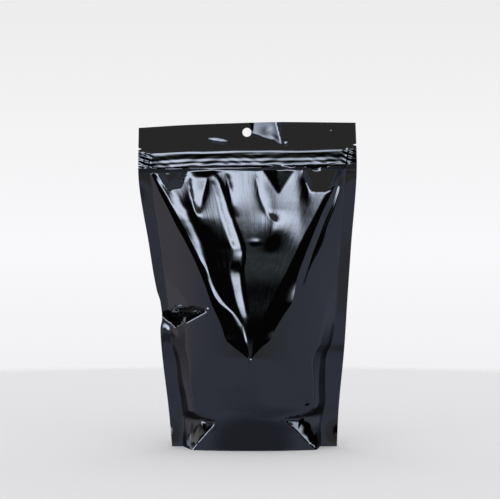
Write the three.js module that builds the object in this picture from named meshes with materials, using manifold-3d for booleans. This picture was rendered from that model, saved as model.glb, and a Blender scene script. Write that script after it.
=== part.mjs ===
// A filled stand-up pouch of glossy black foil laminate, standing on its opened bottom gusset.
//
// The pouch is one welded piece: a flat header with a hang hole and two tear notches, a press-to-close
// zip pressed into both faces, flat side seals, and a chamber that its filling swells out. Each face
// rises from a straight bottom edge, bulges, and breaks along a V into a scoop that leans back to the zip.
//
// Millimetres. +X is the right of the front, +Y the back, +Z up; z = 0 is the table.

import * as THREE from "three";
import { mergeVertices } from "three/addons/utils/BufferGeometryUtils.js";
import Module from "manifold-3d";

// ---- Driving dimensions ------------------------------------------------------------------------
const HEADER_WIDTH = 180.5;
const HEIGHT = 267;
const SIDE_SEAL = 9; // width of the flat weld down each side
const BASE_HALF_DEPTH = 31; // from the side seals' plane to each bottom edge
const GUSSET_TOP = 35; // the gusset's folded top, where the side seals thin from four layers to two
const CHAMBER_TOP = 229.5; // where the faces come together below the zip
const ZIP_HEIGHT = 236.5; // the zip's main rib
const SHEET_HALF = 0.4; // half of two pressed layers, thickened so that the flat sheet is a sound solid
const HANG_HOLE = { diameter: 7.6, x: -0.5, z: 259.3 };
const NOTCH = { depth: 2.4, height: 2.2, leftZ: 245.5, rightZ: 249 };
const ZIP_TILT = 0.009; // the right end of the zip stands this much higher, per mm of width

// ---- Small helpers -----------------------------------------------------------------------------
const clamp = (v, low, high) => Math.min(high, Math.max(low, v));
const mix = (a, b, t) => a + (b - a) * t;
const smooth = (a, b, v) => {
  const t = clamp((v - a) / (b - a), 0, 1);
  return t * t * (3 - 2 * t);
};
// The lower of two depths, with the crease between them rounded to about k.
const softMin = (a, b, k) => (a + b - Math.hypot(a - b, k) + k * Math.exp(-Math.abs(a - b) / k)) / 2;

// A smooth curve through stations [z, value], with no overshoot between them.
function through(stations) {
  const n = stations.length;
  const slope = (i) => (stations[i + 1][1] - stations[i][1]) / (stations[i + 1][0] - stations[i][0]);
  const tangent = stations.map((_, i) => {
    if (i === 0) return slope(0);
    if (i === n - 1) return slope(n - 2);
    const [before, after] = [slope(i - 1), slope(i)];
    return before * after <= 0 ? 0 : (2 * before * after) / (before + after);
  });
  return (z) => {
    const at = clamp(z, stations[0][0], stations[n - 1][0]);
    let i = 0;
    while (i < n - 2 && at > stations[i + 1][0]) i += 1;
    const span = stations[i + 1][0] - stations[i][0];
    const t = (at - stations[i][0]) / span;
    return (
      (1 + 2 * t) * (1 - t) * (1 - t) * stations[i][1] +
      t * (1 - t) * (1 - t) * span * tangent[i] +
      t * t * (3 - 2 * t) * stations[i + 1][1] -
      t * t * (1 - t) * span * tangent[i + 1]
    );
  };
}

// ---- Outline -----------------------------------------------------------------------------------
// The side seals lean in from the zip to the gusset, because the swelling chamber draws them together.
const leftEdge = through([
  [0, -62.3],
  [30, -65.2],
  [85, -71.4],
  [97, -72],
  [106, -70.6],
  [119, -71.9],
  [130, -75.2],
  [165, -81.2],
  [CHAMBER_TOP, -HEADER_WIDTH / 2],
  [HEIGHT, -HEADER_WIDTH / 2 + 0.4],
]);
const rightEdge = through([
  [0, 73.8],
  [30, 75.4],
  [80, 80],
  [119, 82.5],
  [164, 85.7],
  [CHAMBER_TOP, HEADER_WIDTH / 2],
  [HEIGHT, HEADER_WIDTH / 2 - 1],
]);
// The header's cut top edge drops towards the left corner.
const topEdge = (x) => HEIGHT - 4.4 * clamp((22 - x) / 112, 0, 1) ** 1.3;

// ---- Folds -------------------------------------------------------------------------------------
// A fold is a ridge or, with a negative rise, a valley along a line of [x, z] points. Each point has its
// own rise and its own spread to either side; crest rounds the fold's top.
function foldAt({ line, rise, spread, crest = 1.5 }, x, z) {
  let nearest = { distance: Infinity };
  for (let i = 0; i + 1 < line.length; i += 1) {
    const [ax, az] = line[i];
    const [dx, dz] = [line[i + 1][0] - ax, line[i + 1][1] - az];
    const t = clamp(((x - ax) * dx + (z - az) * dz) / (dx * dx + dz * dz), 0, 1);
    const distance = Math.hypot(x - ax - t * dx, z - az - t * dz);
    if (distance < nearest.distance) nearest = { distance, i, t };
  }
  const { distance, i, t } = nearest;
  const reach = mix(spread[i], spread[i + 1], t);
  return mix(rise[i], rise[i + 1], t) * Math.exp(-(Math.hypot(distance, crest) - crest) / reach);
}
const foldSum = (folds, x, z) => folds.reduce((sum, fold) => sum + foldAt(fold, x, z), 0);

// ---- The two faces -----------------------------------------------------------------------------
// Depths are measured outwards from the side seals' plane.
const FRONT = {
  // How far the bulge stands out, and how fast its side panels rise from the seals.
  cap: through([[0, BASE_HALF_DEPTH], [30, 34.5], [69, 37.3], [119, 38.5], [CHAMBER_TOP, 40]]),
  panelSlope: through([[0, 4], [35, 3.1], [69, 2.1], [94, 1.35], [119, 1], [164, 0.78], [203, 0.7], [CHAMBER_TOP, 0.8]]),
  capCurve: through([[0, 0], [30, 0.001], [94, 0.0045], [CHAMBER_TOP, 0.0045]]),
  corner: through([[0, 2.5], [35, 9], [94, 11], [119, 6], [164, 3], [CHAMBER_TOP, 1.5]]),
  // The scoop's own depth: a short shoulder under the zip, then a face that leans out to the V's tip.
  scoop: through([
    [0, 60],
    [50, 41],
    [69, 37.2],
    [94, 35.2],
    [119, 32],
    [164, 21.5],
    [203, 8.6],
    [220, 5],
    [226, 3.4],
    [CHAMBER_TOP, 0],
  ]),
  scoopCrease: 1.6,
  scoopFolds: [
    // The long crest that crosses the scoop from under the zip to the V's tip
    { line: [[-33, 226], [-25, 216], [-19, 199], [-12, 178], [-6.5, 160], [-2, 130], [1, 95]], rise: [0, 2, 3.5, 4.5, 4.5, 3.5, 0], spread: [4, 5, 5, 6, 7, 8, 8] },
    // The dark channel to its left
    { line: [[-41, 214], [-38, 200], [-28, 176], [-20, 150], [-13, 124], [-8, 104]], rise: [0, -2.5, -4.5, -5, -4, 0], spread: [5, 7, 8, 8, 8, 8], crest: 4 },
    // The broad channel to its right
    { line: [[12, 200], [18, 176], [18, 150], [14, 124], [8, 100]], rise: [0, -3, -4.5, -3.5, 0], spread: [8, 12, 15, 14, 10], crest: 8 },
    // Three pleats gathered under the zip
    { line: [[5.5, 228], [-1, 214], [-5, 196], [-5, 180]], rise: [0, 3, 2.5, 0], spread: [4, 5, 6, 6] },
    { line: [[10, 226], [16, 208], [22, 188], [26, 174]], rise: [0, 3, 2, 0], spread: [4, 4, 5, 5] },
    { line: [[40, 228], [42, 214], [44, 194], [40, 168]], rise: [0, 4, 4, 0], spread: [4, 5, 6, 6] },
    { line: [[21, 224], [24, 212], [26, 200]], rise: [0, -3.5, 0], spread: [5, 5, 5], crest: 3 },
    { line: [[54, 224], [56, 208], [60, 196]], rise: [0, -3, 0], spread: [6, 6, 6], crest: 3 },
    // The pocket pressed in at the left
    { line: [[-55, 226], [-52, 214], [-48, 198]], rise: [0, -3, 0], spread: [5, 6, 6], crest: 3 },
  ],
  folds: [
    // The buckle in the left side, half way up
    { line: [[-70, 108], [-60, 107], [-46, 111], [-34, 114]], rise: [-2, -7, -4, 0], spread: [4, 5, 4, 3] },
    { line: [[-70, 97], [-60, 98], [-50, 100]], rise: [1, 3, 0], spread: [4, 5, 5] },
  ],
};

const BACK = {
  ...FRONT,
  scoop: through([
    [0, 60],
    [60, 42],
    [84, 37.4],
    [105, 34.6],
    [130, 29],
    [168, 19],
    [203, 8.4],
    [220, 4.8],
    [226, 3.2],
    [CHAMBER_TOP, 0],
  ]),
  scoopFolds: [
    { line: [[14, 226], [10, 196], [2, 160], [-2, 116]], rise: [0, 3.5, 4, 0], spread: [5, 6, 8, 9] },
    { line: [[34, 214], [27, 180], [15, 140], [8, 112]], rise: [0, -4, -4.5, 0], spread: [8, 11, 12, 9], crest: 5 },
    { line: [[-20, 212], [-17, 178], [-12, 144], [-8, 114]], rise: [0, -4, -4, 0], spread: [8, 12, 12, 9], crest: 5 },
    { line: [[-38, 228], [-40, 210], [-36, 184]], rise: [0, 3, 0], spread: [5, 6, 7] },
    { line: [[50, 228], [53, 212], [50, 192]], rise: [0, 3, 0], spread: [5, 6, 7] },
  ],
  folds: [],
};

// The zip's ribs, as [height above its main rib, relief, half-width].
const ZIP_RIBS = [
  [5.2, 0.9, 1.4],
  [0, 1.5, 2.2],
  [-4, 0.8, 1.1],
];
const zipRelief = (z) =>
  ZIP_RIBS.reduce((sum, [rise, relief, half]) => sum + relief * Math.max(0, 1 - ((z - ZIP_HEIGHT - rise) / half) ** 2), 0);

// Depth of one face at a point of the outline, outwards from the middle of the sheet.
function faceDepth(face, x, z) {
  const seamLeft = leftEdge(z) + SIDE_SEAL;
  const seamRight = rightEdge(z) - SIDE_SEAL;
  const inset = Math.min(x - seamLeft, seamRight - x);
  const ribs = zipRelief(z) * smooth(-SIDE_SEAL, 0, inset);
  if (inset <= 0 || z >= CHAMBER_TOP) return SHEET_HALF + ribs;
  const middle = (seamLeft + seamRight) / 2;
  const slope = face.panelSlope(z);
  const corner = face.corner(z);
  const cap = face.cap(z) - face.capCurve(z) * (x - middle) ** 2;
  const panels = softMin(slope * (x - seamLeft), slope * (seamRight - x), corner);
  const bulge = softMin(panels, cap, corner) + foldSum(face.folds, x, z) * smooth(0, 6, inset);
  const scoop = face.scoop(z) + foldSum(face.scoopFolds, x, z) * smooth(CHAMBER_TOP, CHAMBER_TOP - 8, z);
  const depth = softMin(bulge, scoop, face.scoopCrease);
  return SHEET_HALF + Math.max(0, depth) * smooth(0, 1.5, inset) + ribs;
}

// How far the middle of the sheet leaves its plane, backwards: the header's left corner curls forward,
// and the side seals wave a little.
function sheetOffset(x, z) {
  const above = Math.max(0, z - ZIP_HEIGHT - 6);
  const curl = -0.28 * above * clamp((-x - 10) / 80, 0, 1) ** 1.6;
  const dent = 0.1 * above * Math.exp(-(((x - 14) / (3 + above / 3)) ** 2));
  const wave = 0.8 * Math.sin(z / 21) * smooth(55, 85, Math.abs(x)) * (1 - smooth(215, 240, z)) * smooth(0, 20, z);
  return curl + dent + wave;
}

// ---- The mesh ----------------------------------------------------------------------------------
// Columns follow the seals and the V, so that its creases run along the mesh.
const guideLeft = through([[0, -45.5], [30, -38], [69, -26], [94, -22], [119, -30], [164, -43], [203, -63], [HEIGHT, -68]]);
const guideRight = through([[0, 55.1], [30, 48], [69, 29], [94, 25], [119, 37], [164, 47.5], [203, 66], [HEIGHT, 70]]);
const PANEL_COLUMNS = 8;
const MIDDLE_COLUMNS = 26;
const PANEL_CROWDING = 1.4; // columns crowd towards the seals, where the sides rise steeply

function columnsAt(z) {
  const [left, right] = [leftEdge(z), rightEdge(z)];
  const [seamLeft, seamRight] = [left + SIDE_SEAL, right - SIDE_SEAL];
  const [ridgeLeft, ridgeRight] = [guideLeft(z), guideRight(z)];
  const xs = [left];
  for (let i = 0; i < PANEL_COLUMNS; i += 1) {
    xs.push(mix(seamLeft, ridgeLeft, (i / PANEL_COLUMNS) ** PANEL_CROWDING));
  }
  for (let i = 0; i < MIDDLE_COLUMNS; i += 1) xs.push(mix(ridgeLeft, ridgeRight, i / MIDDLE_COLUMNS));
  for (let i = PANEL_COLUMNS; i >= 0; i -= 1) {
    xs.push(mix(seamRight, ridgeRight, (i / PANEL_COLUMNS) ** PANEL_CROWDING));
  }
  xs.push(right);
  return xs;
}

// Heights of the rows: even up the chamber, then one at each edge and crest of the zip's ribs.
function rowHeights() {
  const heights = [0, 4];
  const chamberRows = 36;
  for (let i = 1; i < chamberRows; i += 1) heights.push(mix(4, 226, i / chamberRows));
  heights.push(226, CHAMBER_TOP);
  for (const [rise, , half] of [...ZIP_RIBS].reverse()) {
    heights.push(ZIP_HEIGHT + rise - half, ZIP_HEIGHT + rise, ZIP_HEIGHT + rise + half);
  }
  heights.push(250, 258, HEIGHT);
  return heights;
}

// A point of the sheet, as it stands: the zip's tilt lifts the right side and drops the left.
function place(x, z, y) {
  const tilt = ZIP_TILT * x * smooth(40, ZIP_HEIGHT, z);
  const cut = (topEdge(x) - HEIGHT) * smooth(ZIP_HEIGHT + 7, HEIGHT, z);
  return [x, y + sheetOffset(x, z), z + tilt * (z < HEIGHT ? 1 : 0.3) + cut];
}

function pouchGeometry() {
  const heights = rowHeights();
  const positions = [];
  const rings = heights.map((z) => {
    const xs = columnsAt(z);
    const front = xs.map((x) => place(x, z, -faceDepth(FRONT, x, z)));
    const back = xs.map((x) => place(x, z, faceDepth(BACK, x, z))).reverse();
    return [...front, ...back].map((point) => positions.push(...point) / 3 - 1);
  });
  const triangles = [];
  const quad = (a, b, c, d) => triangles.push(a, b, c, a, c, d);
  const around = rings[0].length;
  for (let row = 0; row + 1 < rings.length; row += 1) {
    for (let i = 0; i < around; i += 1) {
      const j = (i + 1) % around;
      quad(rings[row][i], rings[row][j], rings[row + 1][j], rings[row + 1][i]);
    }
  }
  // The base and the header's cut edge close the two ends, front column to back column.
  const [base, crown] = [rings[0], rings[rings.length - 1]];
  for (let i = 0; i + 1 < around / 2; i += 1) {
    const [k, l] = [around - 1 - i, around - 2 - i];
    quad(base[i], base[k], base[l], base[i + 1]);
    quad(crown[i], crown[i + 1], crown[l], crown[k]);
  }
  const geometry = new THREE.BufferGeometry();
  geometry.setAttribute("position", new THREE.Float32BufferAttribute(positions, 3));
  geometry.setIndex(triangles);
  return geometry;
}

// ---- Cuts --------------------------------------------------------------------------------------
const wasm = await Module();
wasm.setup();

function solidOf(geometry) {
  const bare = new THREE.BufferGeometry();
  bare.setAttribute("position", geometry.getAttribute("position"));
  bare.setIndex(geometry.getIndex());
  const merged = mergeVertices(bare, 1e-4);
  return new wasm.Manifold(
    new wasm.Mesh({
      numProp: 3,
      vertProperties: new Float32Array(merged.getAttribute("position").array),
      triVerts: new Uint32Array(merged.getIndex().array),
    }),
  );
}

function geometryOf(solid) {
  const { vertProperties, triVerts } = solid.getMesh();
  const geometry = new THREE.BufferGeometry();
  geometry.setAttribute("position", new THREE.BufferAttribute(new Float32Array(vertProperties), 3));
  geometry.setIndex(new THREE.BufferAttribute(new Uint32Array(triVerts), 1));
  geometry.computeVertexNormals();
  return geometry;
}

// The punched hang hole, as a plug through the header.
function hangHolePlug() {
  const plug = new THREE.CylinderGeometry(HANG_HOLE.diameter / 2, HANG_HOLE.diameter / 2, 40, 24);
  return plug.translate(HANG_HOLE.x, 0, HANG_HOLE.z);
}

// A tear notch, as a wedge that points inwards from one side edge.
function notchWedge(edgeX, z, side) {
  const wedge = new THREE.Shape([
    new THREE.Vector2(edgeX + side * 2, z - NOTCH.height / 2),
    new THREE.Vector2(edgeX + side * 2, z + NOTCH.height / 2),
    new THREE.Vector2(edgeX - side * NOTCH.depth, z),
  ]);
  const solid = new THREE.ExtrudeGeometry(wedge, { depth: 60, bevelEnabled: false });
  return solid.rotateX(Math.PI / 2).translate(0, 30, 0);
}

function cutPouch() {
  const cuts = [
    hangHolePlug(),
    notchWedge(leftEdge(NOTCH.leftZ), NOTCH.leftZ, -1),
    notchWedge(rightEdge(NOTCH.rightZ), NOTCH.rightZ, 1),
  ];
  return cuts.reduce((solid, cut) => solid.subtract(solidOf(cut)), solidOf(pouchGeometry()));
}

// The origin is the middle of the bounding box's floor.
function centred(geometry) {
  geometry.computeBoundingBox();
  const { min, max } = geometry.boundingBox;
  return geometry.translate(-(min.x + max.x) / 2, -(min.y + max.y) / 2, -min.z);
}

const foil = new THREE.MeshStandardMaterial({ color: "#08080a", roughness: 0.08, metalness: 0 });
const pouch = new THREE.Mesh(centred(geometryOf(cutPouch())), foil);
pouch.name = "pouch";

const part = new THREE.Group();
part.add(pouch);
export default part;
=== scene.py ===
"""A filled stand-up pouch of glossy black foil laminate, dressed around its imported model.

The pouch is one welded piece of film. It is drawn here as two faces, front and back, each given by how far
it stands out from the plane of the side seals. Folds, pockets and pleats are named features of a face. All
shape sizes are in millimetres until they become a mesh.
"""

import logging
import math
from dataclasses import dataclass, replace
from functools import reduce
from typing import Callable, Sequence

import bmesh
import bpy
import numpy as np
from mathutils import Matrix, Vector


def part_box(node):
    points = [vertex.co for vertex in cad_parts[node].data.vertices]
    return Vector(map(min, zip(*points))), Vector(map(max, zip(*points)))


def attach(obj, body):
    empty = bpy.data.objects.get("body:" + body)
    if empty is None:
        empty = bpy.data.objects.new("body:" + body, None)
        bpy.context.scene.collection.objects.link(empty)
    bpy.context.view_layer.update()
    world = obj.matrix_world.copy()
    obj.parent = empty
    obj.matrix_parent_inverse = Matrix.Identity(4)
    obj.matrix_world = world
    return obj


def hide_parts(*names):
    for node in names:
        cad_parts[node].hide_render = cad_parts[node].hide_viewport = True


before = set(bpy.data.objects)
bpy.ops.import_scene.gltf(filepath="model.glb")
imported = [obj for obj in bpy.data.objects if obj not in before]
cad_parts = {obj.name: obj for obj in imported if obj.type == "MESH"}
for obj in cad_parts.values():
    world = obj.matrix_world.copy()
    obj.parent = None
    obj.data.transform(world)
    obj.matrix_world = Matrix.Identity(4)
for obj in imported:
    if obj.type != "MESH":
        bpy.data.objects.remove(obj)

LOG = logging.getLogger("pouch")
MM = 0.001
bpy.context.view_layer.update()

Array = np.ndarray
Height = Callable[[Array], Array]
Field = Callable[[Array, Array], Array]
Node = bpy.types.Node

LOWEST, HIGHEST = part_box("pouch")
HEADER_WIDTH = (HIGHEST.x - LOWEST.x) / MM
HEIGHT = (HIGHEST.z - LOWEST.z) / MM
CHAMBER_TOP = 231.5
ZIP_HEIGHT = 236.5
V_TIP = 73.0
FILM_HALF = 0.22
NARROWEST_GAP = 0.05
ROUND_SHARE = 0.48
BESIDE_EDGE = 0.01


# ---- Curves and steps ----


def smoothstep(low: float, high: float, value: Array) -> Array:
    """Rises smoothly from 0 at low to 1 at high, or falls where low is above high."""
    t = np.clip((value - low) / (high - low), 0.0, 1.0)
    return t * t * (3.0 - 2.0 * t)


def soft_min(a: Array, b: Array, blend: float) -> Array:
    """The lower of two fields, with the crease between them rounded over about blend."""
    gap = np.abs(a - b)
    return (a + b - np.hypot(gap, blend) + blend * np.exp(-gap / blend)) / 2.0


def soft_max(a: Array, b: Array, blend: float) -> Array:
    """The higher of two fields, with the crease between them rounded over about blend."""
    return -soft_min(-a, -b, blend)


def through(at: Array, stations: Array, values: Array, tangents: Array) -> Array:
    """Smooth curves through stations, flat past their ends.

    Args:
        at: Places along the curves, of any shape.
        stations: Where the stations are.
        values: The value at each station, or a row of values.
        tangents: The slope at each station, or a row of slopes.

    Returns:
        The value at each place, or a row of values.
    """
    at = np.clip(at, stations[0], stations[-1])
    i = np.clip(np.searchsorted(stations, at) - 1, 0, len(stations) - 2)
    span = stations[i + 1] - stations[i]
    t = (at - stations[i]) / span
    if values.ndim > 1:
        span, t = span[..., None], t[..., None]
    ends = (1 + 2 * t) * (1 - t) ** 2 * values[i] + t * t * (3 - 2 * t) * values[i + 1]
    pull = t * (1 - t) ** 2 * tangents[i] - t * t * (1 - t) * tangents[i + 1]
    return ends + span * pull


class Line:
    """A smooth curve through stations, with no overshoot between them, and flat past its ends."""

    def __init__(self, *stations: tuple[float, float]) -> None:
        """Takes the stations, in any order.

        Args:
            stations: Where the curve passes, usually as (height, value).
        """
        self.at, self.value = np.array(sorted(stations), float).T
        slope = np.diff(self.value) / np.diff(self.at)
        before, after = slope[:-1], slope[1:]
        monotone = before * after > 0.0
        mean = 2.0 * before * after / np.where(monotone, before + after, 1.0)
        self.tangent = np.concatenate([slope[:1], np.where(monotone, mean, 0.0), slope[-1:]])

    def __call__(self, at: Array) -> Array:
        """The curve's value at each given place."""
        return through(at, self.at, self.value, self.tangent)


class Rise(Line):
    """A line that also levels off towards both its ends."""

    def __init__(self, *stations: tuple[float, float]) -> None:
        """Takes the stations as (at, value) pairs, in any order."""
        super().__init__(*stations)
        self.tangent[[0, -1]] = 0.0


class Table:
    """Several numbers by height, which all run smoothly through the same stations."""

    def __init__(self, *rows: tuple[float, ...]) -> None:
        """Takes the stations.

        Args:
            rows: One row for each station: its height, then the numbers there.
        """
        self.at = np.array([row[0] for row in rows], float)
        self.values = np.array([row[1:] for row in rows], float)
        self.rates = np.gradient(self.values, self.at, axis=0)

    def __call__(self, at: Array) -> Array:
        """One array for each of the numbers, with its value at each given height."""
        return np.moveaxis(through(at, self.at, self.values, self.rates), -1, 0)


def over(base: Height, *offsets: tuple[float, float]) -> Height:
    """A curve that runs at a changing offset over another.

    Args:
        base: The curve to follow.
        offsets: Stations of the offset, as (height, offset).

    Returns:
        The sum of the two.
    """
    offset = Line(*offsets)
    return lambda z: base(z) + offset(z)


# ---- Features of the film ----


@dataclass(frozen=True)
class Ridge:
    """A crest that runs down the film, or a valley where its rise is negative."""

    path: Height
    rise: Height
    left: float
    right: float
    crest: float = 0.8

    def __call__(self, x: Array, z: Array) -> Array:
        """Height that the crest adds at each point.

        Args:
            x: Places across.
            z: Heights.

        Returns:
            The added height.
        """
        across = x - self.path(z)
        reach = np.where(across < 0.0, self.left, self.right)
        return self.rise(z) * np.exp(-(np.hypot(across, self.crest) - self.crest) / reach)


@dataclass(frozen=True)
class Bump:
    """A rounded swelling, or a dimple where its rise is negative, turned by some degrees."""

    x: float
    z: float
    wide: float
    high: float
    rise: float
    turn: float = 0.0

    def __call__(self, x: Array, z: Array) -> Array:
        """Height that the swelling adds at each point.

        Args:
            x: Places across.
            z: Heights.

        Returns:
            The added height.
        """
        cos, sin = math.cos(math.radians(self.turn)), math.sin(math.radians(self.turn))
        along = ((x - self.x) * cos + (z - self.z) * sin) / self.wide
        across = ((z - self.z) * cos - (x - self.x) * sin) / self.high
        return self.rise * np.exp(-(along**2 + across**2))


Point = tuple[float, float, float]


@dataclass(frozen=True)
class Facet:
    """A flat piece of film: the plane through three points, each given as x, z and added depth."""

    a: Point
    b: Point
    c: Point

    def __call__(self, x: Array, z: Array) -> Array:
        """Added depth of the plane at each point.

        Args:
            x: Places across.
            z: Heights.

        Returns:
            The plane's depth.
        """
        (ax, az, ad), (bx, bz, bd), (cx, cz, cd) = self.a, self.b, self.c
        area = (bx - ax) * (cz - az) - (bz - az) * (cx - ax)
        slope_x = ((bd - ad) * (cz - az) - (cd - ad) * (bz - az)) / area
        slope_z = ((cd - ad) * (bx - ax) - (bd - ad) * (cx - ax)) / area
        return ad + slope_x * (x - ax) + slope_z * (z - az)


def pyramid(apex: Point, *edges: tuple[float, float, float, float]) -> list[Facet]:
    """Facets from an apex to edges at depth 0, each given as x, z and x, z."""
    return [Facet((x, z, 0), (end_x, end_z, 0), apex) for x, z, end_x, end_z in edges]


class Pocket:
    """Facets pressed into the film together: it drops to the highest of them."""

    def __init__(self, *facets: Facet, blend: float = 0.4) -> None:
        """Takes the facets, and how round the creases between them are."""
        self.facets, self.blend = facets, blend

    def __call__(self, x: Array, z: Array) -> Array:
        """Depth that the pocket takes away at each point."""
        floor = reduce(lambda a, b: soft_max(a, b, self.blend), (facet(x, z) for facet in self.facets))
        return soft_min(np.zeros_like(floor), floor, self.blend)


class Puff(Pocket):
    """Facets that stand out together: the film rises to the lowest of them."""

    def __call__(self, x: Array, z: Array) -> Array:
        """Depth that the puff adds at each point."""
        roof = reduce(lambda a, b: soft_min(a, b, self.blend), (facet(x, z) for facet in self.facets))
        return soft_max(np.zeros_like(roof), roof, self.blend)


@dataclass(frozen=True)
class Guide:
    """A fold line down the face: its place across and its depth by height, and how round it is."""

    path: Height
    depth: Height
    radius: float


def stretched(guides: Sequence[Guide], x: Array, z: Array) -> Array:
    """Film stretched straight from guide to guide at each height, with its folds rounded.

    Args:
        guides: The fold lines, from left to right.
        x: Places across.
        z: Heights.

    Returns:
        The film's depth.
    """
    paths = [guide.path(z) for guide in guides]
    depths = [guide.depth(z) for guide in guides]
    gaps = [np.maximum(right - left, NARROWEST_GAP) for left, right in zip(paths, paths[1:])]
    slopes = [(b - a) / gap for a, b, gap in zip(depths, depths[1:], gaps)]
    depth = depths[0] + slopes[0] * (x - paths[0])
    for i in range(1, len(slopes)):
        radius = np.minimum(guides[i].radius, ROUND_SHARE * np.minimum(gaps[i - 1], gaps[i]))
        past = x - paths[i]
        bend = np.where(past < radius, np.maximum(past + radius, 0.0) ** 2 / (4.0 * radius), past)
        depth = depth + (slopes[i] - slopes[i - 1]) * bend
    return depth


def total(fields: Sequence[Field], x: Array, z: Array) -> Array:
    """The sum of several fields at each point."""
    return sum((field(x, z) for field in fields), np.zeros(np.shape(x)))


# ---- The pouch's outline ----

LEFT_EDGE = Line(
    (0, -62.3), (30, -65.2), (85, -71.4), (97, -72), (106, -70.6), (119, -71.9), (130, -75.2), (165, -81.2),
    (CHAMBER_TOP, -HEADER_WIDTH / 2), (HEIGHT, -HEADER_WIDTH / 2 + 0.4),
)  # fmt: skip
RIGHT_EDGE = Line(
    (0, 73.8), (30, 75.4), (80, 80), (119, 82.5), (164, 85.7), (CHAMBER_TOP, HEADER_WIDTH / 2),
    (HEIGHT, HEADER_WIDTH / 2 - 1),
)  # fmt: skip
LEFT_SEAM = Line(
    (0, -53.3), (25, -53.6), (39, -55), (54, -57.4), (68, -58.6), (85, -62.4), (130, -67.5), (165, -72.2),
    (CHAMBER_TOP, -82),
)  # fmt: skip
RIGHT_SEAM = Line(
    (0, 60.5), (25, 62), (38, 64.4), (48, 64.2), (70, 64.4), (77, 65.8), (85, 69.2), (101, 71.9), (119, 73.5),
    (164, 76.7), (CHAMBER_TOP, 82),
)  # fmt: skip


# ---- The faces ----


@dataclass(frozen=True)
class Panel:
    """One half of a face: a steep side that rises from the seam, and a front that levels off inwards."""

    seam: Height
    root: Height
    way: float
    steep: Height
    front: Table
    roll: Height
    roll_reach: float = 14.0
    roll_start: float = 1.3
    blend: Height = Line((0, 0.8), (24, 0.8), (33, 6), (100, 6), (130, 1.5))

    def __call__(self, x: Array, z: Array) -> Array:
        """Depth of the panel at each point.

        Args:
            x: Places across.
            z: Heights.

        Returns:
            Depths, 0 at the seam and beyond it.
        """
        inward = np.maximum(self.way * (x - self.seam(z)), 0.0)
        base, slope, curve = self.front(z)
        near = np.minimum(self.way * (x - self.root(z)), slope / (2.0 * curve))
        front = base + slope * near - curve * np.maximum(near, 0.0) ** 2
        gathered = self.roll(z) * (np.exp(-inward / self.roll_reach) - np.exp(-inward / self.roll_start))
        return np.maximum(soft_min(self.steep(z) * inward, front, self.blend(z)), 0.0) + gathered


@dataclass(frozen=True)
class Face:
    """One side of the pouch: two side panels, a V-shaped dent between them and a rounded belly below."""

    left: Panel
    right: Panel
    v_left: Height
    v_right: Height
    guides: Sequence[Callable[["Face"], Guide]]
    pleats: Sequence[Field]
    wrinkles: Sequence[Field]
    shoulder: Line
    wrinkle_fade: float = 6.0
    pleat_fade: float = 4.0
    seal_fade: float = 1.2
    shoulder_power: float = 2.5

    def outside(self, x: Array, z: Array) -> Array:
        """Depth of the two side panels with their wrinkles.

        Args:
            x: Places across.
            z: Heights.

        Returns:
            The depth, carried on across the V.
        """
        middle = (self.v_left(z) + self.v_right(z)) / 2.0
        inset = np.minimum(x - LEFT_SEAM(z), RIGHT_SEAM(z) - x)
        panels = np.where(x < middle, self.left(x, z), self.right(x, z))
        return panels + total(self.wrinkles, x, z) * smoothstep(0, self.wrinkle_fade, inset)

    def left_lip(self, z: Array) -> Array:
        """Depth along the V's left edge."""
        return self.outside(self.v_left(z) - BESIDE_EDGE, z)

    def right_lip(self, z: Array) -> Array:
        """Depth along the V's right edge."""
        return self.outside(self.v_right(z) + BESIDE_EDGE, z)

    def dent(self, x: Array, z: Array) -> Array:
        """Depth inside the V, with its pleats.

        Args:
            x: Places across.
            z: Heights.

        Returns:
            The depth.
        """
        height = np.maximum(z, V_TIP)
        edges = Guide(self.v_left, self.left_lip, 0.0), Guide(self.v_right, self.right_lip, 0.0)
        inner = [guide(self) for guide in self.guides]
        depth = stretched([edges[0], *inner, edges[1]], x, height)
        inset = np.minimum(x - self.v_left(z), self.v_right(z) - x)
        return depth + total(self.pleats, x, z) * smoothstep(0, self.pleat_fade, inset)

    def depth(self, x: Array, z: Array) -> Array:
        """How far the face stands out from the middle of the sheet.

        Args:
            x: Places across.
            z: Heights.

        Returns:
            Depths, which are half the film's thickness on the seals and the header.
        """
        inset = np.minimum(x - LEFT_SEAM(z), RIGHT_SEAM(z) - x)
        depth = self.outside(x, z)
        in_v = (z > V_TIP) & (x > self.v_left(z)) & (x < self.v_right(z))
        depth = np.where(in_v, self.dent(x, z), depth)
        under_zip = np.clip((CHAMBER_TOP - z) / (CHAMBER_TOP - self.shoulder(x)), 0.0, 1.0)
        rounded = 1.0 - (1.0 - under_zip) ** self.shoulder_power
        swollen = np.maximum(depth, 0.0) * smoothstep(0, self.seal_fade, inset) * rounded
        return FILM_HALF + np.where((inset > 0.0) & (z < CHAMBER_TOP), swollen, 0.0)


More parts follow.
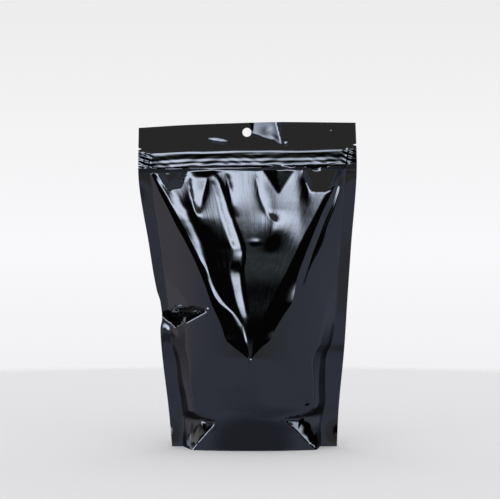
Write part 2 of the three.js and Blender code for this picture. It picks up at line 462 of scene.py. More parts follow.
def front_face() -> Face:
    """The face that the camera sees.

    Returns:
        The front.
    """
    floor = Line(
        (73, 37.3), (90, 32.6), (105, 28), (122, 23.3), (138, 19), (154, 15.3), (170, 11.8), (180, 9.75),
        (188, 8.2), (195, 6.95), (205, 5.45), (215, 4.2), (223, 3.3), (228, 2.8), (CHAMBER_TOP, 2.5),
    )  # fmt: skip
    shelf_start = Line(
        (73, 1.75), (90, -3.5), (101.6, -8.7), (110.4, -13.4), (119.3, -23.4), (125, -27.5), (138, -32.8),
        (147.8, -36), (162.6, -43.7), (179.1, -52.4), (195.8, -61.2), (211.7, -69.5), (223.4, -77),
        (231, -82.5),
    )  # fmt: skip
    shelf_end = Line(
        (73, 1.85), (90, -2.7), (101.6, -6.2), (109.6, -10.8), (119.3, -21.4), (125, -25.5), (137.1, -30.8),
        (147.7, -33.8), (154.3, -37.9), (170.8, -44.1), (187.4, -51.7), (204.1, -62.5), (214.1, -68.7),
        (223.4, -76.2), (231, -82.1),
    )  # fmt: skip
    left_crest = Line(
        (73, 1.95), (90, -1.9), (101.6, -4.9), (109.6, -9.2), (120.1, -19.8), (125.8, -23.9), (137.1, -29.2),
        (154.3, -34.6), (170.7, -39.2), (187.3, -46.7), (204, -55.9), (214.1, -63.8), (225, -73.7),
        (231, -80.4),
    )  # fmt: skip
    strand_foot = Line(
        (73, 2.05), (90, -0.8), (101.6, -3.2), (112, -7), (129.7, -11.7), (145.9, -14.2), (154.1, -12.6),
        (162.2, -12.6), (170.4, -15.1), (187, -20.1), (203.5, -24.2), (216, -28.4), (221.9, -32.5),
        (230.3, -35.9),
    )  # fmt: skip
    strand_crest = Line(
        (73, 2.15), (97.6, 0.1), (112, -1.6), (129.7, -4.4), (145.9, -5.7), (154, -4.5), (162.1, -4.5),
        (170.3, -6.5), (186.9, -12.7), (203.5, -18.5), (218.4, -23.5), (222.6, -25.9), (230.2, -30.9),
    )  # fmt: skip
    right_foot = Line(
        (73, 2.4), (85.4, 4.4), (105.5, 12.7), (121.4, 20.8), (137.6, 29.5), (152.3, 36.9), (174.7, 47.7),
        (188.5, 55.3), (210.5, 66.2), (218.6, 71.3), (231, 81.5),
    )  # fmt: skip
    guides = [
        lambda face: Guide(shelf_start, over(
            face.left_lip, (73, 0), (90, -2), (101.6, -3.4), (119, -4), (138, -4), (148, -4.3),
            (162.6, -4.6), (179, -4.5), (195.8, -3.6), (211.7, -1.7), (223, -0.6), (231, 0),
        ), 1.2),
        lambda face: Guide(shelf_end, over(
            face.left_lip, (73, 0), (90, -2), (101.6, -3.4), (119, -3.85), (138, -3.8), (148, -4),
            (154, -4.2), (171, -4.1), (187, -3.8), (196, -3.1), (204, -2.2), (214, -1.1), (223.4, -0.4),
            (231, 0),
        ), 1.4),
        lambda face: Guide(left_crest, over(
            face.left_lip, (73, 0), (90, -2), (101.6, -3.3), (119, -3.6), (138, -3.4), (154, -3.2),
            (170, -3.0), (187, -2.8), (203, -1.5), (214, -0.6), (225, -0.1), (231, 0),
        ), 1.6),
        lambda _: Guide(strand_foot, over(
            floor, (73, 0), (101.6, -0.4), (112, -0.9), (121.6, -1.1), (146, -1.3), (154, -1.5),
            (162, -1.7), (170, -1.8), (187, -1.3), (203, -0.4), (216, -0.1), (225, 0), (230, 0),
        ), 1.2),
        lambda _: Guide(strand_crest, over(
            floor, (73, 0), (97.6, 0), (106, 0.1), (112, 0.5), (121.6, 1.1), (134, 1.7), (143, 1.9),
            (150, 1.4), (156, 1.4), (162, 1.7), (170, 1.3), (187, 0.5), (203, 0.4), (212, 0.45),
            (222, 0.4), (230, 0.1),
        ), 1.0),
        lambda _: Guide(over(strand_crest, (73, 0.1), (97, 2.6)), floor, 1.0),
        lambda _: Guide(right_foot, floor, 1.2),
    ]  # fmt: skip
    pleats = [
        # The short fold left of the long one: it rises slowly from the left and drops at its right border.
        Ridge(
            Line((189, -40.3), (203.7, -37.7), (212, -35.9), (220, -34.1)),
            Rise((184, 0), (200, 0.9), (212, 1.4), (222, 1.2), (228, 0)),
            9.0, 5.0, 0.6,
        ),
        Ridge(
            Line((189.7, -41.5), (195.5, -43.8), (203.7, -46.2), (217, -47.6), (224, -48)),
            Rise((184, 0), (195, -1.4), (205, -2.2), (214, -1.6), (222, -0.8), (230, 0)),
            9.0, 1.8, 1.0,
        ),
        # Hollows and folds of the gathered top, from left to right.
        Ridge(
            Line((192, -11), (211, -14), (226, -17.5)),
            Rise((188, 0), (200, -0.8), (210, -1.0), (220, -0.6), (230, 0)),
            4.0, 2.5,
        ),
        Ridge(
            Line((183, 25), (188, 18.5), (197, 13.6), (207, 10.3), (215, 9), (223, 7)),
            Rise((180, 0), (196, -0.5), (207, -0.75), (217, -0.5), (229, 0)),
            2.6, 1.8, 0.5,
        ),
        Ridge(
            Line((183, 20), (203, 18), (224, 13)),
            Rise((183, 0), (195, 0.5), (203, 0.5), (224, 0)),
            6.0, 5.0, 3.0,
        ),
        Ridge(
            Line((170, 42), (200, 41.5), (228, 39.8)),
            Rise((160, 0), (195, 1.0), (203, 1.0), (215, 0.8), (228, 0.5), (231, 0)),
            9.0, 8.0, 4.0,
        ),
        Ridge(
            Line((180, 48), (196, 50), (208, 50.6), (222, 47)),
            Rise((196, 0), (206, -0.5), (216, -0.8), (226, 0)),
            3.0, 2.0, 0.6,
        ),
        Ridge(Line((160, 19), (178, 22), (195, 24)), Rise((158, 0), (178, -1.2), (196, 0)), 7.0, 7.0, 3.0),
        Pocket(*pyramid((25.1, 219.4, -1.3), (15.3, 223.7, 23.5, 211.1), (33.4, 219.2, 27.6, 210.2))),
        Puff(
            Facet((-63.8, 212.4, 0), (-57, 213.5, 0), (-60, 226, 2.6)),
            Facet((-50, 228, 0), (-56, 213, 0), (-52, 228, 2.0)),
            Facet((-63.8, 212.4, 0), (-76.2, 226.7, 0), (-62.5, 214.4, 1.0)),
        ),
        Puff(
            Facet((50, 208.5, 0), (60, 208.5, 0), (55, 228, 2.1)),
            Facet((45.8, 226, 0), (51, 212, 0), (48, 226, 2.0)),
        ),
        Bump(-53.4, 223.6, 2.6, 2.2, -0.7),
        Bump(-53.4, 223.9, 1.1, 1.0, 0.6),
        Bump(6.2, 168.6, 4.0, 1.8, -0.25),
    ]  # fmt: skip
    wrinkles = [
        # The flat piece under the crumple at the left edge.
        Pocket(
            Facet((-57.6, 98.6, 0), (-31.1, 113.7, 0), (-46.3, 100, -0.8)),
            Facet((-57.6, 98.6, 0), (-31.1, 113.7, 0), (-46.3, 93, 0.8)),
        ),
        # The step along the right lip.
        Ridge(
            Line((127, 42.6), (145.4, 48.5), (169.6, 57.7), (185, 63.6), (199.7, 70), (211.2, 73.5),
                 (221.9, 76.2)),
            Rise((127, 0), (150, -0.8), (170, -1.8), (190, -2.5), (211, -2.4), (222, -1.0), (227, 0)),
            4.0, 1.8, 0.7,
        ),
        # The nick under the V's tip, and the creases at the left foot.
        Bump(1.7, 69.5, 0.9, 4.5, -0.5),
        Ridge(Line((0, -48.5), (28, -45.5)), Rise((-5, -0.8), (12, -0.9), (30, 0)), 1.5, 1.0, 0.5),
        Ridge(Line((0, -46), (26, -38.5)), Rise((-5, 0), (12, -0.7), (28, 0)), 2.0, 1.0, 0.5),
        # The dimples over the two welded corners.
        Pocket(*pyramid((-34.1, 22.1, -1.2), (-41.4, 27.7, -34.2, 15.5), (-26.9, 22.9, -34.2, 15.5),
                        (-26.9, 23.5, -41.4, 28.3))),
        Pocket(*pyramid((42, 23.5, -1.4), (29.7, 25.2, 41, 16.4), (48.3, 28.1, 41, 16.4),
                        (29.7, 26.1, 48.3, 28.5))),
        Bump(47.9, 38.3, 2.5, 1.8, -0.5, 15),
    ]  # fmt: skip
    sides = (50, 2.1), (V_TIP, 1.7), (90, 1.35), (105, 1.15), (122, 1)
    belly = (
        (0, 22.3, 0.34, 0.00334), (23.5, 18.9, 0.563, 0.00512), (50, 15.2, 0.712, 0.00603),
        (62, 13.25, 0.7786, 0.006435), (V_TIP, 11.2, 0.842, 0.00679), (90, 10.5, 0.842, 0.00679),
        (105, 9.8, 0.842, 0.00679), (122, 9, 0.842, 0.0066),
    )  # fmt: skip
    return Face(
        left=Panel(
            seam=LEFT_SEAM,
            root=Line((0, -53.3), (25, -53.6), (39, -55), (54, -57.4), (68, -58.6), (78, -59.4),
                      (CHAMBER_TOP, -59.4)),
            way=1.0,
            steep=Line((0, 3.1), (6, 2), (13.5, 1.41), (23.5, 1.1), (31, 2.2), *sides, (CHAMBER_TOP, 1.2)),
            front=Table(
                *belly, (138, 8.3, 0.83, 0.006), (160, 9.2, 0.76, 0.005), (190, 12.6, 0.78, 0.005),
                (215, 16.4, 0.81, 0.005), (CHAMBER_TOP, 19, 0.85, 0.005),
            ),
            roll=Line((15, 0), (28, 1.6), (60, 1.8), (80, 1.0), (90, 0)),
        ),
        right=Panel(
            seam=RIGHT_SEAM,
            root=Line((0, 60.5), (25, 62), (38, 64.4), (48, 64.2), (70, 64.4), (CHAMBER_TOP, 64.4)),
            way=-1.0,
            steep=Line((0, 5.2), (6, 2.3), (13.4, 1.47), (26, 1), (33, 2.2), *sides, (CHAMBER_TOP, 1.1)),
            front=Table(
                *belly, (139, 8.3, 0.81, 0.0058), (157, 8.9, 0.72, 0.004), (178, 8.6, 0.64, 0.003),
                (205, 9.8, 0.63, 0.003), (CHAMBER_TOP, 10.9, 0.62, 0.003),
            ),
            roll=Line((15, 0), (28, 1.6), (70, 2.0), (95, 1.0), (105, 0)),
        ),
        v_left=Line(
            (0, 4.8), (71, 1.5), (73, 1.7), (77, -1.9), (83.3, -10), (89.7, -17.2), (99.3, -20.5),
            (107.3, -23.8), (117.7, -28.7), (133.9, -34.5), (153.5, -42.8), (170, -51.1), (185, -59.4),
            (197, -65.3), (210, -72), (224.3, -78.7), (CHAMBER_TOP, -83),
        ),
        v_right=Line(
            (0, 4.8), (71, 1.5), (73, 2.5), (76.2, 4.5), (84.1, 11.7), (89.6, 18.2), (99.1, 23), (111, 30.4),
            (119.7, 36.1), (139, 40.3), (157.5, 47), (177.8, 55.3), (193.3, 62), (213.7, 72), (225.2, 77.1),
            (CHAMBER_TOP, 82),
        ),
        guides=guides,
        pleats=pleats,
        wrinkles=wrinkles,
        shoulder=Line(
            (-77, 229.2), (-63, 227.7), (-53, 228), (-47, 226.7), (-29, 226), (-18.5, 226.6), (-6, 227.2),
            (3.7, 228.7), (12, 227.8), (22.6, 227.7), (33, 226.6), (40, 229.4), (48, 228.5), (57, 225.8),
            (62, 227.8), (76, 229.7),
        ),
    )  # fmt: skip


def back_face() -> Face:
    """The face turned away from the camera: cut like the front, with a plainer dent.

    Returns:
        The back.
    """
    floor = Line(
        (V_TIP, 37.2), (90, 34.2), (105, 30.6), (130, 24.6), (168, 14.8), (203, 6.6), (220, 3.6),
        (CHAMBER_TOP, 2.5),
    )  # fmt: skip
    folds = [
        (Line((V_TIP, 1.9), (120, -9), (168, -16), (CHAMBER_TOP, -24)), 0.0),
        (Line((V_TIP, 2.1), (120, 3), (168, 4), (CHAMBER_TOP, 5)), 1.6),
        (Line((V_TIP, 2.3), (120, 14), (168, 22), (CHAMBER_TOP, 32)), -0.4),
    ]
    guides = [
        Guide(path, over(floor, (V_TIP, 0), (150, lift), (CHAMBER_TOP, 0)), 6.0) for path, lift in folds
    ]
    rise = Rise((185, 0), (210, 1.1), (CHAMBER_TOP, 0))
    pleats = [
        Ridge(Line((185, x), (CHAMBER_TOP, 1.1 * x)), rise, left=5.0, right=5.0, crest=2.0)
        for x in (-38.0, -8.0, 22.0, 50.0)
    ]
    return replace(
        front_face(),
        guides=[lambda _, guide=guide: guide for guide in guides],
        pleats=pleats,
        wrinkles=[],
        shoulder=Line((-80, 229), (80, 229)),
    )


# ---- The sheet between the faces ----


@dataclass(frozen=True)
class Sheet:
    """The middle of the pouch's flat parts: where it leaves its plane, and how it hangs a little askew."""

    tilt: float = 0.0155
    left_sweep: float = 0.25
    right_sweep: float = 0.18
    ripple: float = 0.8
    ripple_length: float = 21.0
    crown: Line = Line((-90, -4.3), (-49, -1.8), (-4.5, -0.2), (24, 0.6), (90, 0))
    bends: Sequence[Field] = (
        # The bent piece of the header beside the hole.
        Puff(
            Facet((3.7, 258.7, 0), (27.7, 249.0, 0), (14, 267.4, 1.35)),
            Facet((2.1, 268, 0), (3.7, 258.7, 0), (8, 264, 1.9)),
            Facet((28.2, 268, 0), (28.4, 249, 0), (24, 260, 1.6)),
            blend=0.8,
        ),
        Bump(16, 260.5, 4.0, 3.0, 0.16, 35),
        Bump(22, 254.5, 3.0, 1.6, -0.12, -30),
        # The crumple at the left edge, with its creased lip and the crushed seal beside it.
        Puff(
            *pyramid(
                (-57, 111.4, 10.5),
                (-74, 110.8, -43, 117),
                (-43, 117, -31, 113.5),
                (-58.6, 98, -31, 113.7),
                (-58.6, 98, -75, 112),
            ),
            blend=0.6,
        ),
        Bump(-57, 115.2, 5.0, 1.8, -1.0, 12),
        Bump(-32.5, 113.8, 1.4, 1.3, -0.35),
        Bump(-70.0, 94, 2.0, 6.5, -1.3, -5),
        Bump(-66.0, 94, 1.8, 6.0, -1.1, 12),
        Bump(-61.5, 94.5, 2.8, 4.2, -1.0, 30),
        # Marks in the header.
        Bump(-24.4, 252.4, 7.5, 1.3, -0.3, -10),
        Bump(31.8, 249.1, 1.4, 1.2, -0.3),
        Bump(69, 259.3, 1.0, 1.0, -0.15),
    )

    def height(self, x: Array, z: Array) -> Array:
        """Where a point of the film stands: the right end of the zip is higher than the left."""
        askew = z + self.tilt * x * smoothstep(30, ZIP_HEIGHT, z)
        return askew + (self.crown(x) - self.tilt * x) * smoothstep(ZIP_HEIGHT + 7, HEIGHT, z)

    def offset(self, x: Array, z: Array) -> Array:
        """How far the middle of the sheet stands behind its plane.

        Args:
            x: Places across.
            z: Heights.

        Returns:
            The distance.
        """
        left_fin = np.maximum(LEFT_SEAM(z) - x, 0.0) * smoothstep(225, 200, z)
        right_fin = np.maximum(x - RIGHT_SEAM(z), 0.0) * smoothstep(225, 200, z)
        fins = (self.left_sweep * left_fin + self.right_sweep * right_fin) * smoothstep(0, 25, z)
        ripple = self.ripple * np.sin(z / self.ripple_length) * smoothstep(55, 85, np.abs(x))
        ripple = ripple * smoothstep(240, 215, z) * smoothstep(0, 20, z)
        return fins + ripple + total(self.bends, x, z)


# ---- The zip ----


@dataclass(frozen=True)
class Wave:
    """A sine wave over the film: its height, the length of one radian, how it leans and where it starts."""

    height: float
    length: float
    lean: float = 0.0
    start: float = 0.0

    def __call__(self, x: Array, z: Array) -> Array:
        """The wave's value at each point."""
        return self.height * np.sin(x / self.length + self.lean * z + self.start)


@dataclass(frozen=True)
class Zip:
    """The closed zip: two tracks that wander a little, uneven along their run and crushed at both ends."""

    profile: Line = Line(
        (228, 0), (231.4, 1.9), (232, 1.96), (232.6, 1.91), (233.6, 1.79), (233.9, 1.75), (235.4, 1.44),
        (235.6, 1.4), (237.8, 1.12), (238, 1.08), (242, 0.23), (242.4, 0.16), (243.6, 0.03), (244.2, 0),
        (246, 0),
    )  # fmt: skip
    wander: Sequence[Wave] = (Wave(0.25, 23.0), Wave(0.08, 6.1, start=1.0))
    left_sag: float = 0.9
    swell: Wave = Wave(0.02, 9.0, lean=0.4)
    shiver: Wave = Wave(0.03, 3.1, lean=-0.8)
    shiver_place: Wave = Wave(1.0, 17.0, start=0.5)
    crimp: Wave = Wave(0.012, 1.6, lean=1.3)
    crimp_place: Wave = Wave(1.0, 11.0, start=2.0)
    top_edge: Wave = Wave(0.35, 13.0, start=1.0)
    crush: float = 0.4

    def relief(self, x: Array, z: Array) -> Array:
        """How far the zip stands out of the header.

        Args:
            x: Places across.
            z: Heights.

        Returns:
            The distance, 0 beside the zip.
        """
        wander = total(self.wander, x, z) + self.left_sag * smoothstep(-40, -75, x)
        uneven = 1.0 + self.swell(x, z) + self.shiver(x, z) * self.shiver_place(x, z)
        uneven = uneven + self.crimp(x, z) * smoothstep(-0.2, 0.6, self.crimp_place(x, z))
        uneven = uneven * (1.0 + self.top_edge(x, z) * smoothstep(240.5, 242.5, z))
        crushed = np.sin(0.95 * x + 0.6 * z) * np.sin(0.85 * z - 0.4 * x) * smoothstep(76, 85, np.abs(x))
        band = smoothstep(246, 242, z) * smoothstep(228, 232, z)
        raised = self.profile(z + wander) * uneven + self.crush * crushed * band
        return raised * smoothstep(91.5, 88, np.abs(x))


# ---- Finishes ----


def linear(hex_colour: str) -> tuple[float, float, float, float]:
    """An sRGB hex colour as the linear RGBA that the shaders take.

    Args:
        hex_colour: A number sign and six digits.

    Returns:
        The channels from 0 to 1, with full alpha.
    """
    channels = [int(hex_colour[i : i + 2], 16) / 255.0 for i in (1, 3, 5)]
    values = [c / 12.92 if c <= 0.04045 else ((c + 0.055) / 1.055) ** 2.4 for c in channels]
    return values[0], values[1], values[2], 1.0


def add_node(tree: bpy.types.NodeTree, kind: str, inputs: dict | None = None, **settings: object) -> Node:
    """Adds a node with its settings and its inputs.

    Args:
        tree: The tree that it goes in.
        kind: Its Blender type name, without ShaderNode.
        inputs: By socket name or number, a value, a socket to link from, or a node for its first output.
        settings: Properties of the node itself.

    Returns:
        The node.
    """
    made = tree.nodes.new("ShaderNode" + kind)
    for name, value in settings.items():
        setattr(made, name, value)
    for socket, value in (inputs or {}).items():
        source = value.outputs[0] if isinstance(value, Node) else value
        if isinstance(source, bpy.types.NodeSocket):
            tree.links.new(source, made.inputs[socket])
        else:
            made.inputs[socket].default_value = source
    return made


@dataclass(frozen=True)
class FoilFilm:
    """Black-printed polyester film laminated on foil: smooth, mirror-like, and nearly black of itself."""

    name: str = "foil_laminate_film"
    colour: str = "#040405"
    roughness: float = 0.055
    refraction: float = 1.54
    # The film's shallow waves, and the streaks into which it is drawn inside the V, across and along.
    wave_mm: float = 9.0
    wave_height_mm: float = 0.04
    streak_mm: tuple[float, float] = (3.2, 26.0)
    streak_height_mm: float = 0.1

    def material(self) -> bpy.types.Material:
        """Builds the film's material.

        Returns:
            The material.
        """
        made = bpy.data.materials.new(self.name)
        made.use_nodes = True
        tree = made.node_tree
        tree.nodes.clear()
        place = add_node(tree, "TexCoord").outputs["Object"]
        inputs = {"Vector": place, "Scale": 1.0 / (self.wave_mm * MM), "Detail": 2.0, "Roughness": 0.5}
        waves = add_node(tree, "TexNoise", inputs)
        folds = add_node(tree, "Attribute", attribute_name="folds").outputs["Vector"]
        slack = add_node(tree, "SeparateXYZ", {0: folds}).outputs["Z"]
        size = (1.0 / self.streak_mm[0], 1.0 / self.streak_mm[1], 0.0)
        run = add_node(tree, "VectorMath", {0: folds, 1: size}, operation="MULTIPLY").outputs["Vector"]
        streaks = add_node(tree, "TexNoise", {"Vector": run, "Scale": 1.0, "Detail": 3.0, "Roughness": 0.6})
        deep = add_node(tree, "Math", {0: streaks, 1: slack}, operation="MULTIPLY")
        wave_height, streak_height = self.wave_height_mm * MM, self.streak_height_mm * MM
        wavy = add_node(tree, "Bump", {"Height": waves, "Strength": 1.0, "Distance": wave_height})
        inputs = {"Height": deep, "Strength": 1.0, "Distance": streak_height, "Normal": wavy}
        bump = add_node(tree, "Bump", inputs)
        inputs = {"Roughness": self.roughness, "IOR": self.refraction, "Normal": bump}
        film = add_node(tree, "BsdfPrincipled", {"Base Color": linear(self.colour)} | inputs)
        add_node(tree, "OutputMaterial", {"Surface": film})
        return made


# ---- The pouch ----


@dataclass
class Pouch:
    """The film of the whole pouch: both faces, the header and the side seals, with its cuts."""

    front: Face
    back: Face
    sheet: Sheet
    zip: Zip
    row_step: float = 1.0
    zip_step: float = 0.5
    seal_columns: int = 7
    front_columns: tuple[int, int] = (48, 140)
    back_columns: tuple[int, int] = (18, 46)
    spread_below: float = 22.0
    below_reach: float = 20.0
    spread_above: float = 25.0
    above_reach: float = 12.0
    spread_height: float = 225.0
    streak_centre: tuple[float, float] = (2.0, 45.0)
    streak_radius: float = 150.0
    sharp_crease: float = 8.0
    sharp_edge: float = 38.0
    punch_depth: float = 60.0
    notch_reach: float = 2.0
    hole_diameter: float = 7.4
    hole_at: tuple[float, float] = (-0.5, 259.3)
    notch_depth: float = 2.8
    notch_height: float = 3.0
    notch_heights: tuple[float, float] = (245.5, 249.0)

    def columns(self, face: Face, heights: Array, panel_count: int, dent_count: int) -> tuple[Array, Array]:
        """Places across and heights of one face's grid, whose columns run along the V's edges.

        Args:
            face: The face.
            heights: The rows' heights.
            panel_count: How many columns each side panel has.
            dent_count: How many columns the V has.

        Returns:
            Two grids, one row for each height.
        """
        seal = np.linspace(0.0, 1.0, self.seal_columns + 1)[:-1]
        side, inside = np.linspace(0, 1, panel_count + 1), np.linspace(0, 1, dent_count + 1)[1:-1]
        z = heights[:, None]
        below, above = np.maximum(V_TIP - z, 0.0), np.maximum(z - self.spread_height, 0.0)
        spread = self.spread_below * (1.0 - np.exp(-below / self.below_reach))
        spread = spread - self.spread_above * (1.0 - np.exp(-above / self.above_reach))
        v_left, v_right = face.v_left(z) - spread, face.v_right(z) + spread
        left = LEFT_EDGE(z) + (LEFT_SEAM(z) - LEFT_EDGE(z)) * seal
        middle = [
            LEFT_SEAM(z) + (v_left - LEFT_SEAM(z)) * side,
            v_left + (v_right - v_left) * inside,
            v_right + (RIGHT_SEAM(z) - v_right) * side,
        ]
        right = RIGHT_EDGE(z) + (RIGHT_SEAM(z) - RIGHT_EDGE(z)) * seal[::-1]
        x = np.concatenate([left, *middle, right], axis=1)
        return x, np.broadcast_to(z, x.shape)

    def rows(self) -> Array:
        """Heights of the grid's rows, closer where the zip is.

        Returns:
            The heights, from the base up.
        """
        zip_start, zip_end, last = CHAMBER_TOP - 1.0, ZIP_HEIGHT + 8.0, HEIGHT - 0.3
        chamber = np.arange(0.0, zip_start, self.row_step)
        zip_band = np.arange(zip_start, zip_end, self.zip_step)
        header = np.arange(zip_end, last, self.row_step)
        return np.concatenate([chamber, zip_band, header, [HEIGHT]])

    def folds(self, face: Face, x: Array, z: Array) -> Array:
        """Where the film's fine streaks run.

        Args:
            face: The face.
            x: Places across it.
            z: Heights.

        Returns:
            For each point how far round the streaks' centre it is and how far from it, in mm, and how slack
            the film is.
        """
        right, up = x - self.streak_centre[0], z - self.streak_centre[1]
        turn, reach = np.arctan2(right, up) * self.streak_radius, np.hypot(right, up)
        inset = np.minimum(x - face.v_left(z), face.v_right(z) - x)
        slack = smoothstep(-1, 5, inset) * smoothstep(V_TIP, V_TIP + 15, z) * smoothstep(229, 225, z)
        return np.stack([turn, reach, slack], axis=-1)

    def creased(self, face: Face, x: Array, z: Array) -> Array:
        """1 for the points of the two sharp folds along the V's edges, 0 elsewhere."""
        inset = np.minimum(x - face.v_left(z), face.v_right(z) - x)
        return ((np.abs(inset) < 1e-6) & (z > V_TIP) & (z < CHAMBER_TOP)).astype(float)

    def shell(self) -> bpy.types.Mesh:
        """The closed skin of both faces, joined round their rim.

        Returns:
            The mesh, with its folds and its creased points as attributes.
        """

        def joined(parts: Sequence[Array]) -> Array:
            """The front's grid and the back's, as one that runs round the pouch."""
            return np.concatenate([parts[0], parts[1][:, ::-1]], axis=1)

        sides, folds, creases = [], [], []
        halves = (self.front, -1.0, self.front_columns), (self.back, 1.0, self.back_columns)
        for face, way, counts in halves:
            x, z = self.columns(face, self.rows(), *counts)
            depth = face.depth(x, z) + self.zip.relief(x, z)
            height, middle = self.sheet.height(x, z), self.sheet.offset(x, z)
            sides.append(np.stack([x, middle + way * depth, height], axis=-1))
            folds.append(self.folds(face, x, z))
            creases.append(self.creased(face, x, z))
        ring = joined(sides)
        rows, around = ring.shape[:2]
        corners = np.arange(rows * around).reshape(rows, around)
        turned = np.roll(corners, -1, axis=1)
        walls = np.stack([corners[:-1], turned[:-1], turned[1:], corners[1:]], axis=-1).reshape(-1, 4)
        faces = [*walls.tolist(), corners[0, ::-1].tolist(), corners[-1].tolist()]
        mesh = bpy.data.meshes.new("pouch_film")
        mesh.from_pydata((ring.reshape(-1, 3) * MM).tolist(), [], faces)
        along = mesh.attributes.new("folds", "FLOAT_VECTOR", "POINT")
        along.data.foreach_set("vector", joined(folds).ravel())
        creased = mesh.attributes.new("creased", "FLOAT", "POINT")
        creased.data.foreach_set("value", joined(creases).ravel())
        mesh.validate()
        return mesh

    def cutters(self) -> bpy.types.Object:
        """The punch for the hang hole and the wedges for the two tear notches.

        Returns:
            One object with all three.
        """
        shape = bmesh.new()
        radius, depth = self.hole_diameter / 2 * MM, self.punch_depth * MM
        sizes = {"radius1": radius, "radius2": radius, "depth": depth}
        for vertex in bmesh.ops.create_cone(shape, cap_ends=True, segments=48, **sizes)["verts"]:
            x, y, z = vertex.co
            vertex.co = Vector((x + self.hole_at[0] * MM, z, -y + self.hole_at[1] * MM))
        half = depth / 2
        for side, height in zip((-1, 1), self.notch_heights):
            edge = (LEFT_EDGE if side < 0 else RIGHT_EDGE)(np.array(height))
            outline = [
                (edge + side * self.notch_reach, height - self.notch_height / 2),
                (edge + side * self.notch_reach, height + self.notch_height / 2),
                (edge - side * self.notch_depth, height),
            ]
            ends = [[shape.verts.new((px * MM, y, pz * MM)) for px, pz in outline] for y in (-half, half)]
            shape.faces.new(ends[0])
            shape.faces.new(reversed(ends[1]))
            for i in range(3):
                j = (i + 1) % 3
                shape.faces.new((ends[0][j], ends[0][i], ends[1][i], ends[1][j]))
        bmesh.ops.recalc_face_normals(shape, faces=shape.faces)
        mesh = bpy.data.meshes.new("cutters")
        shape.to_mesh(mesh)
        shape.free()
        made = bpy.data.objects.new("cutters", mesh)
        bpy.context.scene.collection.objects.link(made)
        return made

    def build(self, film: bpy.types.Material) -> bpy.types.Object:
        """Builds the film with its cuts made.

        Args:
            film: The film's material.

        Returns:
            The object, in the row frame.
        """
        made = bpy.data.objects.new("pouch_film", self.shell())
        bpy.context.scene.collection.objects.link(made)
        cutters = self.cutters()
        cut = made.modifiers.new("cuts", "BOOLEAN")
        cut.operation = "DIFFERENCE"
        cut.solver = "EXACT"
        cut.object = cutters
        finished = bpy.data.meshes.new_from_object(made.evaluated_get(bpy.context.evaluated_depsgraph_get()))
        made.modifiers.clear()
        made.data = finished
        bpy.data.objects.remove(cutters)
        edges = bmesh.new()
        edges.from_mesh(finished)
        creased = edges.verts.layers.float["creased"]
        for edge in edges.edges:
            on_crease = all(vertex[creased] > 0.5 for vertex in edge.verts)
            limit = self.sharp_crease if on_crease else self.sharp_edge
            edge.smooth = edge.is_manifold and edge.calc_face_angle() < math.radians(limit)
        for face in edges.faces:
            face.smooth = True
        edges.to_mesh(finished)
        edges.free()
        finished.materials.clear()
        finished.materials.append(film)
        return made


# ---- The studio ----

Colour = tuple[float, float, float]


@dataclass(frozen=True)
class Patch:
    """A lit part of the studio that the film mirrors: its light, and where it starts and ends, in degrees.

    Each pair holds the angles of no light and of full light. The side angles run to the right from the way
    to the camera, the up angles from the horizon.
    """

    light: Colour
    side: Sequence[tuple[float, float]]
    up: Sequence[tuple[float, float]]


def lit_share(tree: bpy.types.NodeTree, *edges: tuple[Node, float, float]) -> Node:
    """How much of its light a part of the studio has at each angle.

    Args:
        tree: The tree that it goes in.
        edges: For each edge the angle, where there is no light and where there is full light.

    Returns:
        The product of a smooth step at each edge.
    """
    share = None
    for angle, dark, bright in edges:
        inputs = {"From Min": min(dark, bright), "From Max": max(dark, bright)}
        inputs |= {"Value": angle, "To Min": float(dark > bright), "To Max": float(dark < bright)}
        step = add_node(tree, "MapRange", inputs, interpolation_type="SMOOTHSTEP")
        share = add_node(tree, "Math", {0: share, 1: step}, operation="MULTIPLY") if share else step
    return share


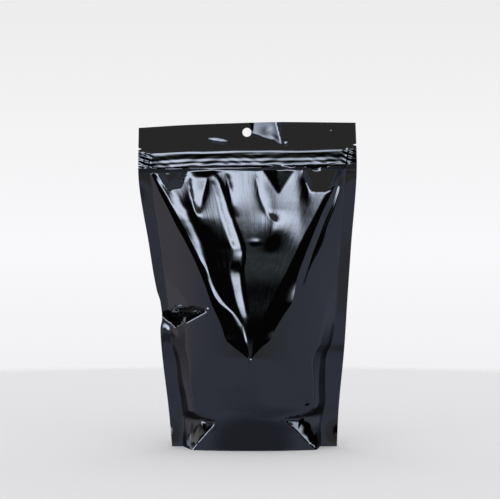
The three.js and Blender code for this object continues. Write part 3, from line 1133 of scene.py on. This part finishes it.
@dataclass
class Studio:
    """The pale floor, the light and the camera."""

    floor_radius: float = 0.93
    floor_fade: float = 0.12
    camera_distance: float = 1.3
    camera_height: float = 0.1625
    camera_side: float = 0.00207
    focal_pixels: float = 1574.0
    frame_pixels: float = 500.0
    wall_light: Colour = (0.56, 0.63, 0.86)
    left_warmth: Colour = (0.23, 0.13, 0.05)
    facing_light: tuple[float, ...] = (0.42, 0.42, 0.42, 1.0)
    facing_width: float = 35.0
    low_dimming: float = 0.55
    rear_dimming: float = 0.65
    backdrop_rate: float = 0.02
    patches: Sequence[Patch] = (
        Patch((11.5, 13.0, 15.8), side=((-105, -75), (14, -4)), up=((7, 12.5), (25, 15))),
        Patch((0.4, 0.49, 0.525), side=((-60, -40), (18, 4)), up=((18, 23), (30, 24))),
        Patch((0.7, 0.7, 0.7), side=((-100, -120),), up=((5, 9), (24, 18))),
        Patch((3.4, 4.0, 4.7), side=((95, 108),), up=((19, 24), (36, 28))),
    )

    def camera(self) -> None:
        """Sets the camera at the photograph's angle."""
        data = bpy.data.cameras.new("camera")
        data.lens = self.focal_pixels / self.frame_pixels * data.sensor_width
        made = bpy.data.objects.new("camera", data)
        made.location = self.camera_side, -self.camera_distance, self.camera_height
        made.rotation_euler = math.pi / 2, 0.0, 0.0
        bpy.context.scene.collection.objects.link(made)
        bpy.context.scene.camera = made

    def floor(self) -> None:
        """Lays a round pale floor whose rim fades into the backdrop."""
        shape = bmesh.new()
        bmesh.ops.create_circle(shape, cap_ends=True, segments=96, radius=self.floor_radius)
        mesh = bpy.data.meshes.new("floor")
        shape.to_mesh(mesh)
        shape.free()
        made = bpy.data.objects.new("floor", mesh)
        bpy.context.scene.collection.objects.link(made)
        made.visible_glossy = False
        paint = bpy.data.materials.new("studio_floor")
        paint.use_nodes = True
        tree = paint.node_tree
        tree.nodes.clear()
        place = add_node(tree, "TexCoord").outputs["Object"]
        reach = add_node(tree, "VectorMath", {0: place}, operation="LENGTH").outputs["Value"]
        span = {"From Min": self.floor_radius - self.floor_fade, "From Max": self.floor_radius}
        fade = add_node(tree, "MapRange", {"Value": reach} | span, interpolation_type="SMOOTHSTEP")
        matt = add_node(tree, "BsdfDiffuse", {"Color": linear("#e4e4e6")})
        clear = add_node(tree, "BsdfTransparent")
        both = add_node(tree, "MixShader", {"Fac": fade, 1: matt, 2: clear})
        add_node(tree, "OutputMaterial", {"Surface": both})
        mesh.materials.append(paint)

    def light(self) -> None:
        """Sets the studio's light: an even pale room, and what the glossy film sees of it."""
        world = bpy.data.worlds.new("studio")
        bpy.context.scene.world = world
        world.use_nodes = True
        tree = world.node_tree
        tree.nodes.clear()
        ray = add_node(tree, "SeparateXYZ", {0: add_node(tree, "TexCoord").outputs["Generated"]}).outputs
        degrees = 180.0 / math.pi
        rise = add_node(tree, "Math", {0: ray["Z"]}, operation="ARCSINE")
        up = add_node(tree, "Math", {0: rise, 1: degrees}, operation="MULTIPLY")
        towards = add_node(tree, "Math", {0: ray["Y"], 1: -1.0}, operation="MULTIPLY")
        turn = add_node(tree, "Math", {0: ray["X"], 1: towards}, operation="ARCTAN2")
        side = add_node(tree, "Math", {0: turn, 1: degrees}, operation="MULTIPLY")

        # The walls: bluish, warmer on the left, grey behind the camera, darker low down and at the back.
        near = add_node(tree, "Math", {0: side, 1: self.facing_width}, operation="DIVIDE")
        square = add_node(tree, "Math", {0: near, 1: near}, operation="MULTIPLY")
        fall = add_node(tree, "Math", {0: square, 1: -1.0}, operation="MULTIPLY")
        bell = add_node(tree, "Math", {0: fall}, operation="EXPONENT")
        facing = add_node(tree, "Math", {0: bell, 1: lit_share(tree, (up, -4, 0))}, operation="MULTIPLY")
        inputs = {0: self.left_warmth, "Scale": lit_share(tree, (side, -45, -80))}
        warmth = add_node(tree, "VectorMath", inputs, operation="SCALE")
        warm = add_node(tree, "VectorMath", {0: warmth, 1: self.wall_light}, operation="ADD")
        wall = add_node(tree, "Mix", {"Factor": facing, 6: warm, 7: self.facing_light}, data_type="RGBA")
        turned = add_node(tree, "Math", {0: side}, operation="ABSOLUTE")
        room = lit_share(tree, (up, 9, 5))
        for edge, dimming in (((up, -8, -20), self.low_dimming), ((turned, 95, 112), self.rear_dimming)):
            inputs = {0: lit_share(tree, edge), 1: -dimming, 2: 1.0}
            left_over = add_node(tree, "Math", inputs, operation="MULTIPLY_ADD")
            room = add_node(tree, "Math", {0: room, 1: left_over}, operation="MULTIPLY")
        glossy = add_node(tree, "VectorMath", {0: wall.outputs[2], "Scale": room}, operation="SCALE")

        for patch in self.patches:
            across = lit_share(tree, *((side, *edge) for edge in patch.side))
            upward = lit_share(tree, *((up, *edge) for edge in patch.up))
            amount = add_node(tree, "Math", {0: across, 1: upward}, operation="MULTIPLY")
            light = add_node(tree, "VectorMath", {0: patch.light, "Scale": amount}, operation="SCALE")
            glossy = add_node(tree, "VectorMath", {0: glossy, 1: light}, operation="ADD")

        # The camera sees the backdrop, the film sees the studio, and all else gets even white light.
        height = add_node(tree, "Math", {0: up, 1: self.backdrop_rate, 2: 0.5}, operation="MULTIPLY_ADD")
        backdrop = add_node(tree, "ValToRGB", {"Fac": height})
        ramp = backdrop.color_ramp
        ramp.elements[0].position, ramp.elements[0].color = 0.3, linear("#e6e6e8")
        ramp.elements[1].position, ramp.elements[1].color = 0.7, linear("#ebebeb")
        middle = ramp.elements.new(0.5)
        middle.color = linear("#f9f9fb")
        path = add_node(tree, "LightPath").outputs
        inputs = {"Factor": path["Is Camera Ray"], 6: (1.0, 1.0, 1.0, 1.0), 7: backdrop}
        seen = add_node(tree, "Mix", inputs, data_type="RGBA").outputs[2]
        inputs = {"Factor": path["Is Glossy Ray"], 6: seen, 7: glossy}
        light = add_node(tree, "Mix", inputs, data_type="RGBA").outputs[2]
        add_node(tree, "OutputWorld", {"Surface": add_node(tree, "Background", {"Color": light})})


def main() -> None:
    """Builds the pouch and its studio."""
    logging.basicConfig(level=logging.INFO, format="%(name)s: %(message)s")
    film = FoilFilm().material()
    pouch = Pouch(front=front_face(), back=back_face(), sheet=Sheet(), zip=Zip())
    body = pouch.build(film)
    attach(body, "root")
    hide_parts("pouch")
    LOG.info("%s: %d faces", body.name, len(body.data.polygons))
    studio = Studio()
    studio.floor()
    studio.light()
    studio.camera()
    bpy.context.scene.view_settings.view_transform = "Standard"


if __name__ == "__main__":
    main()
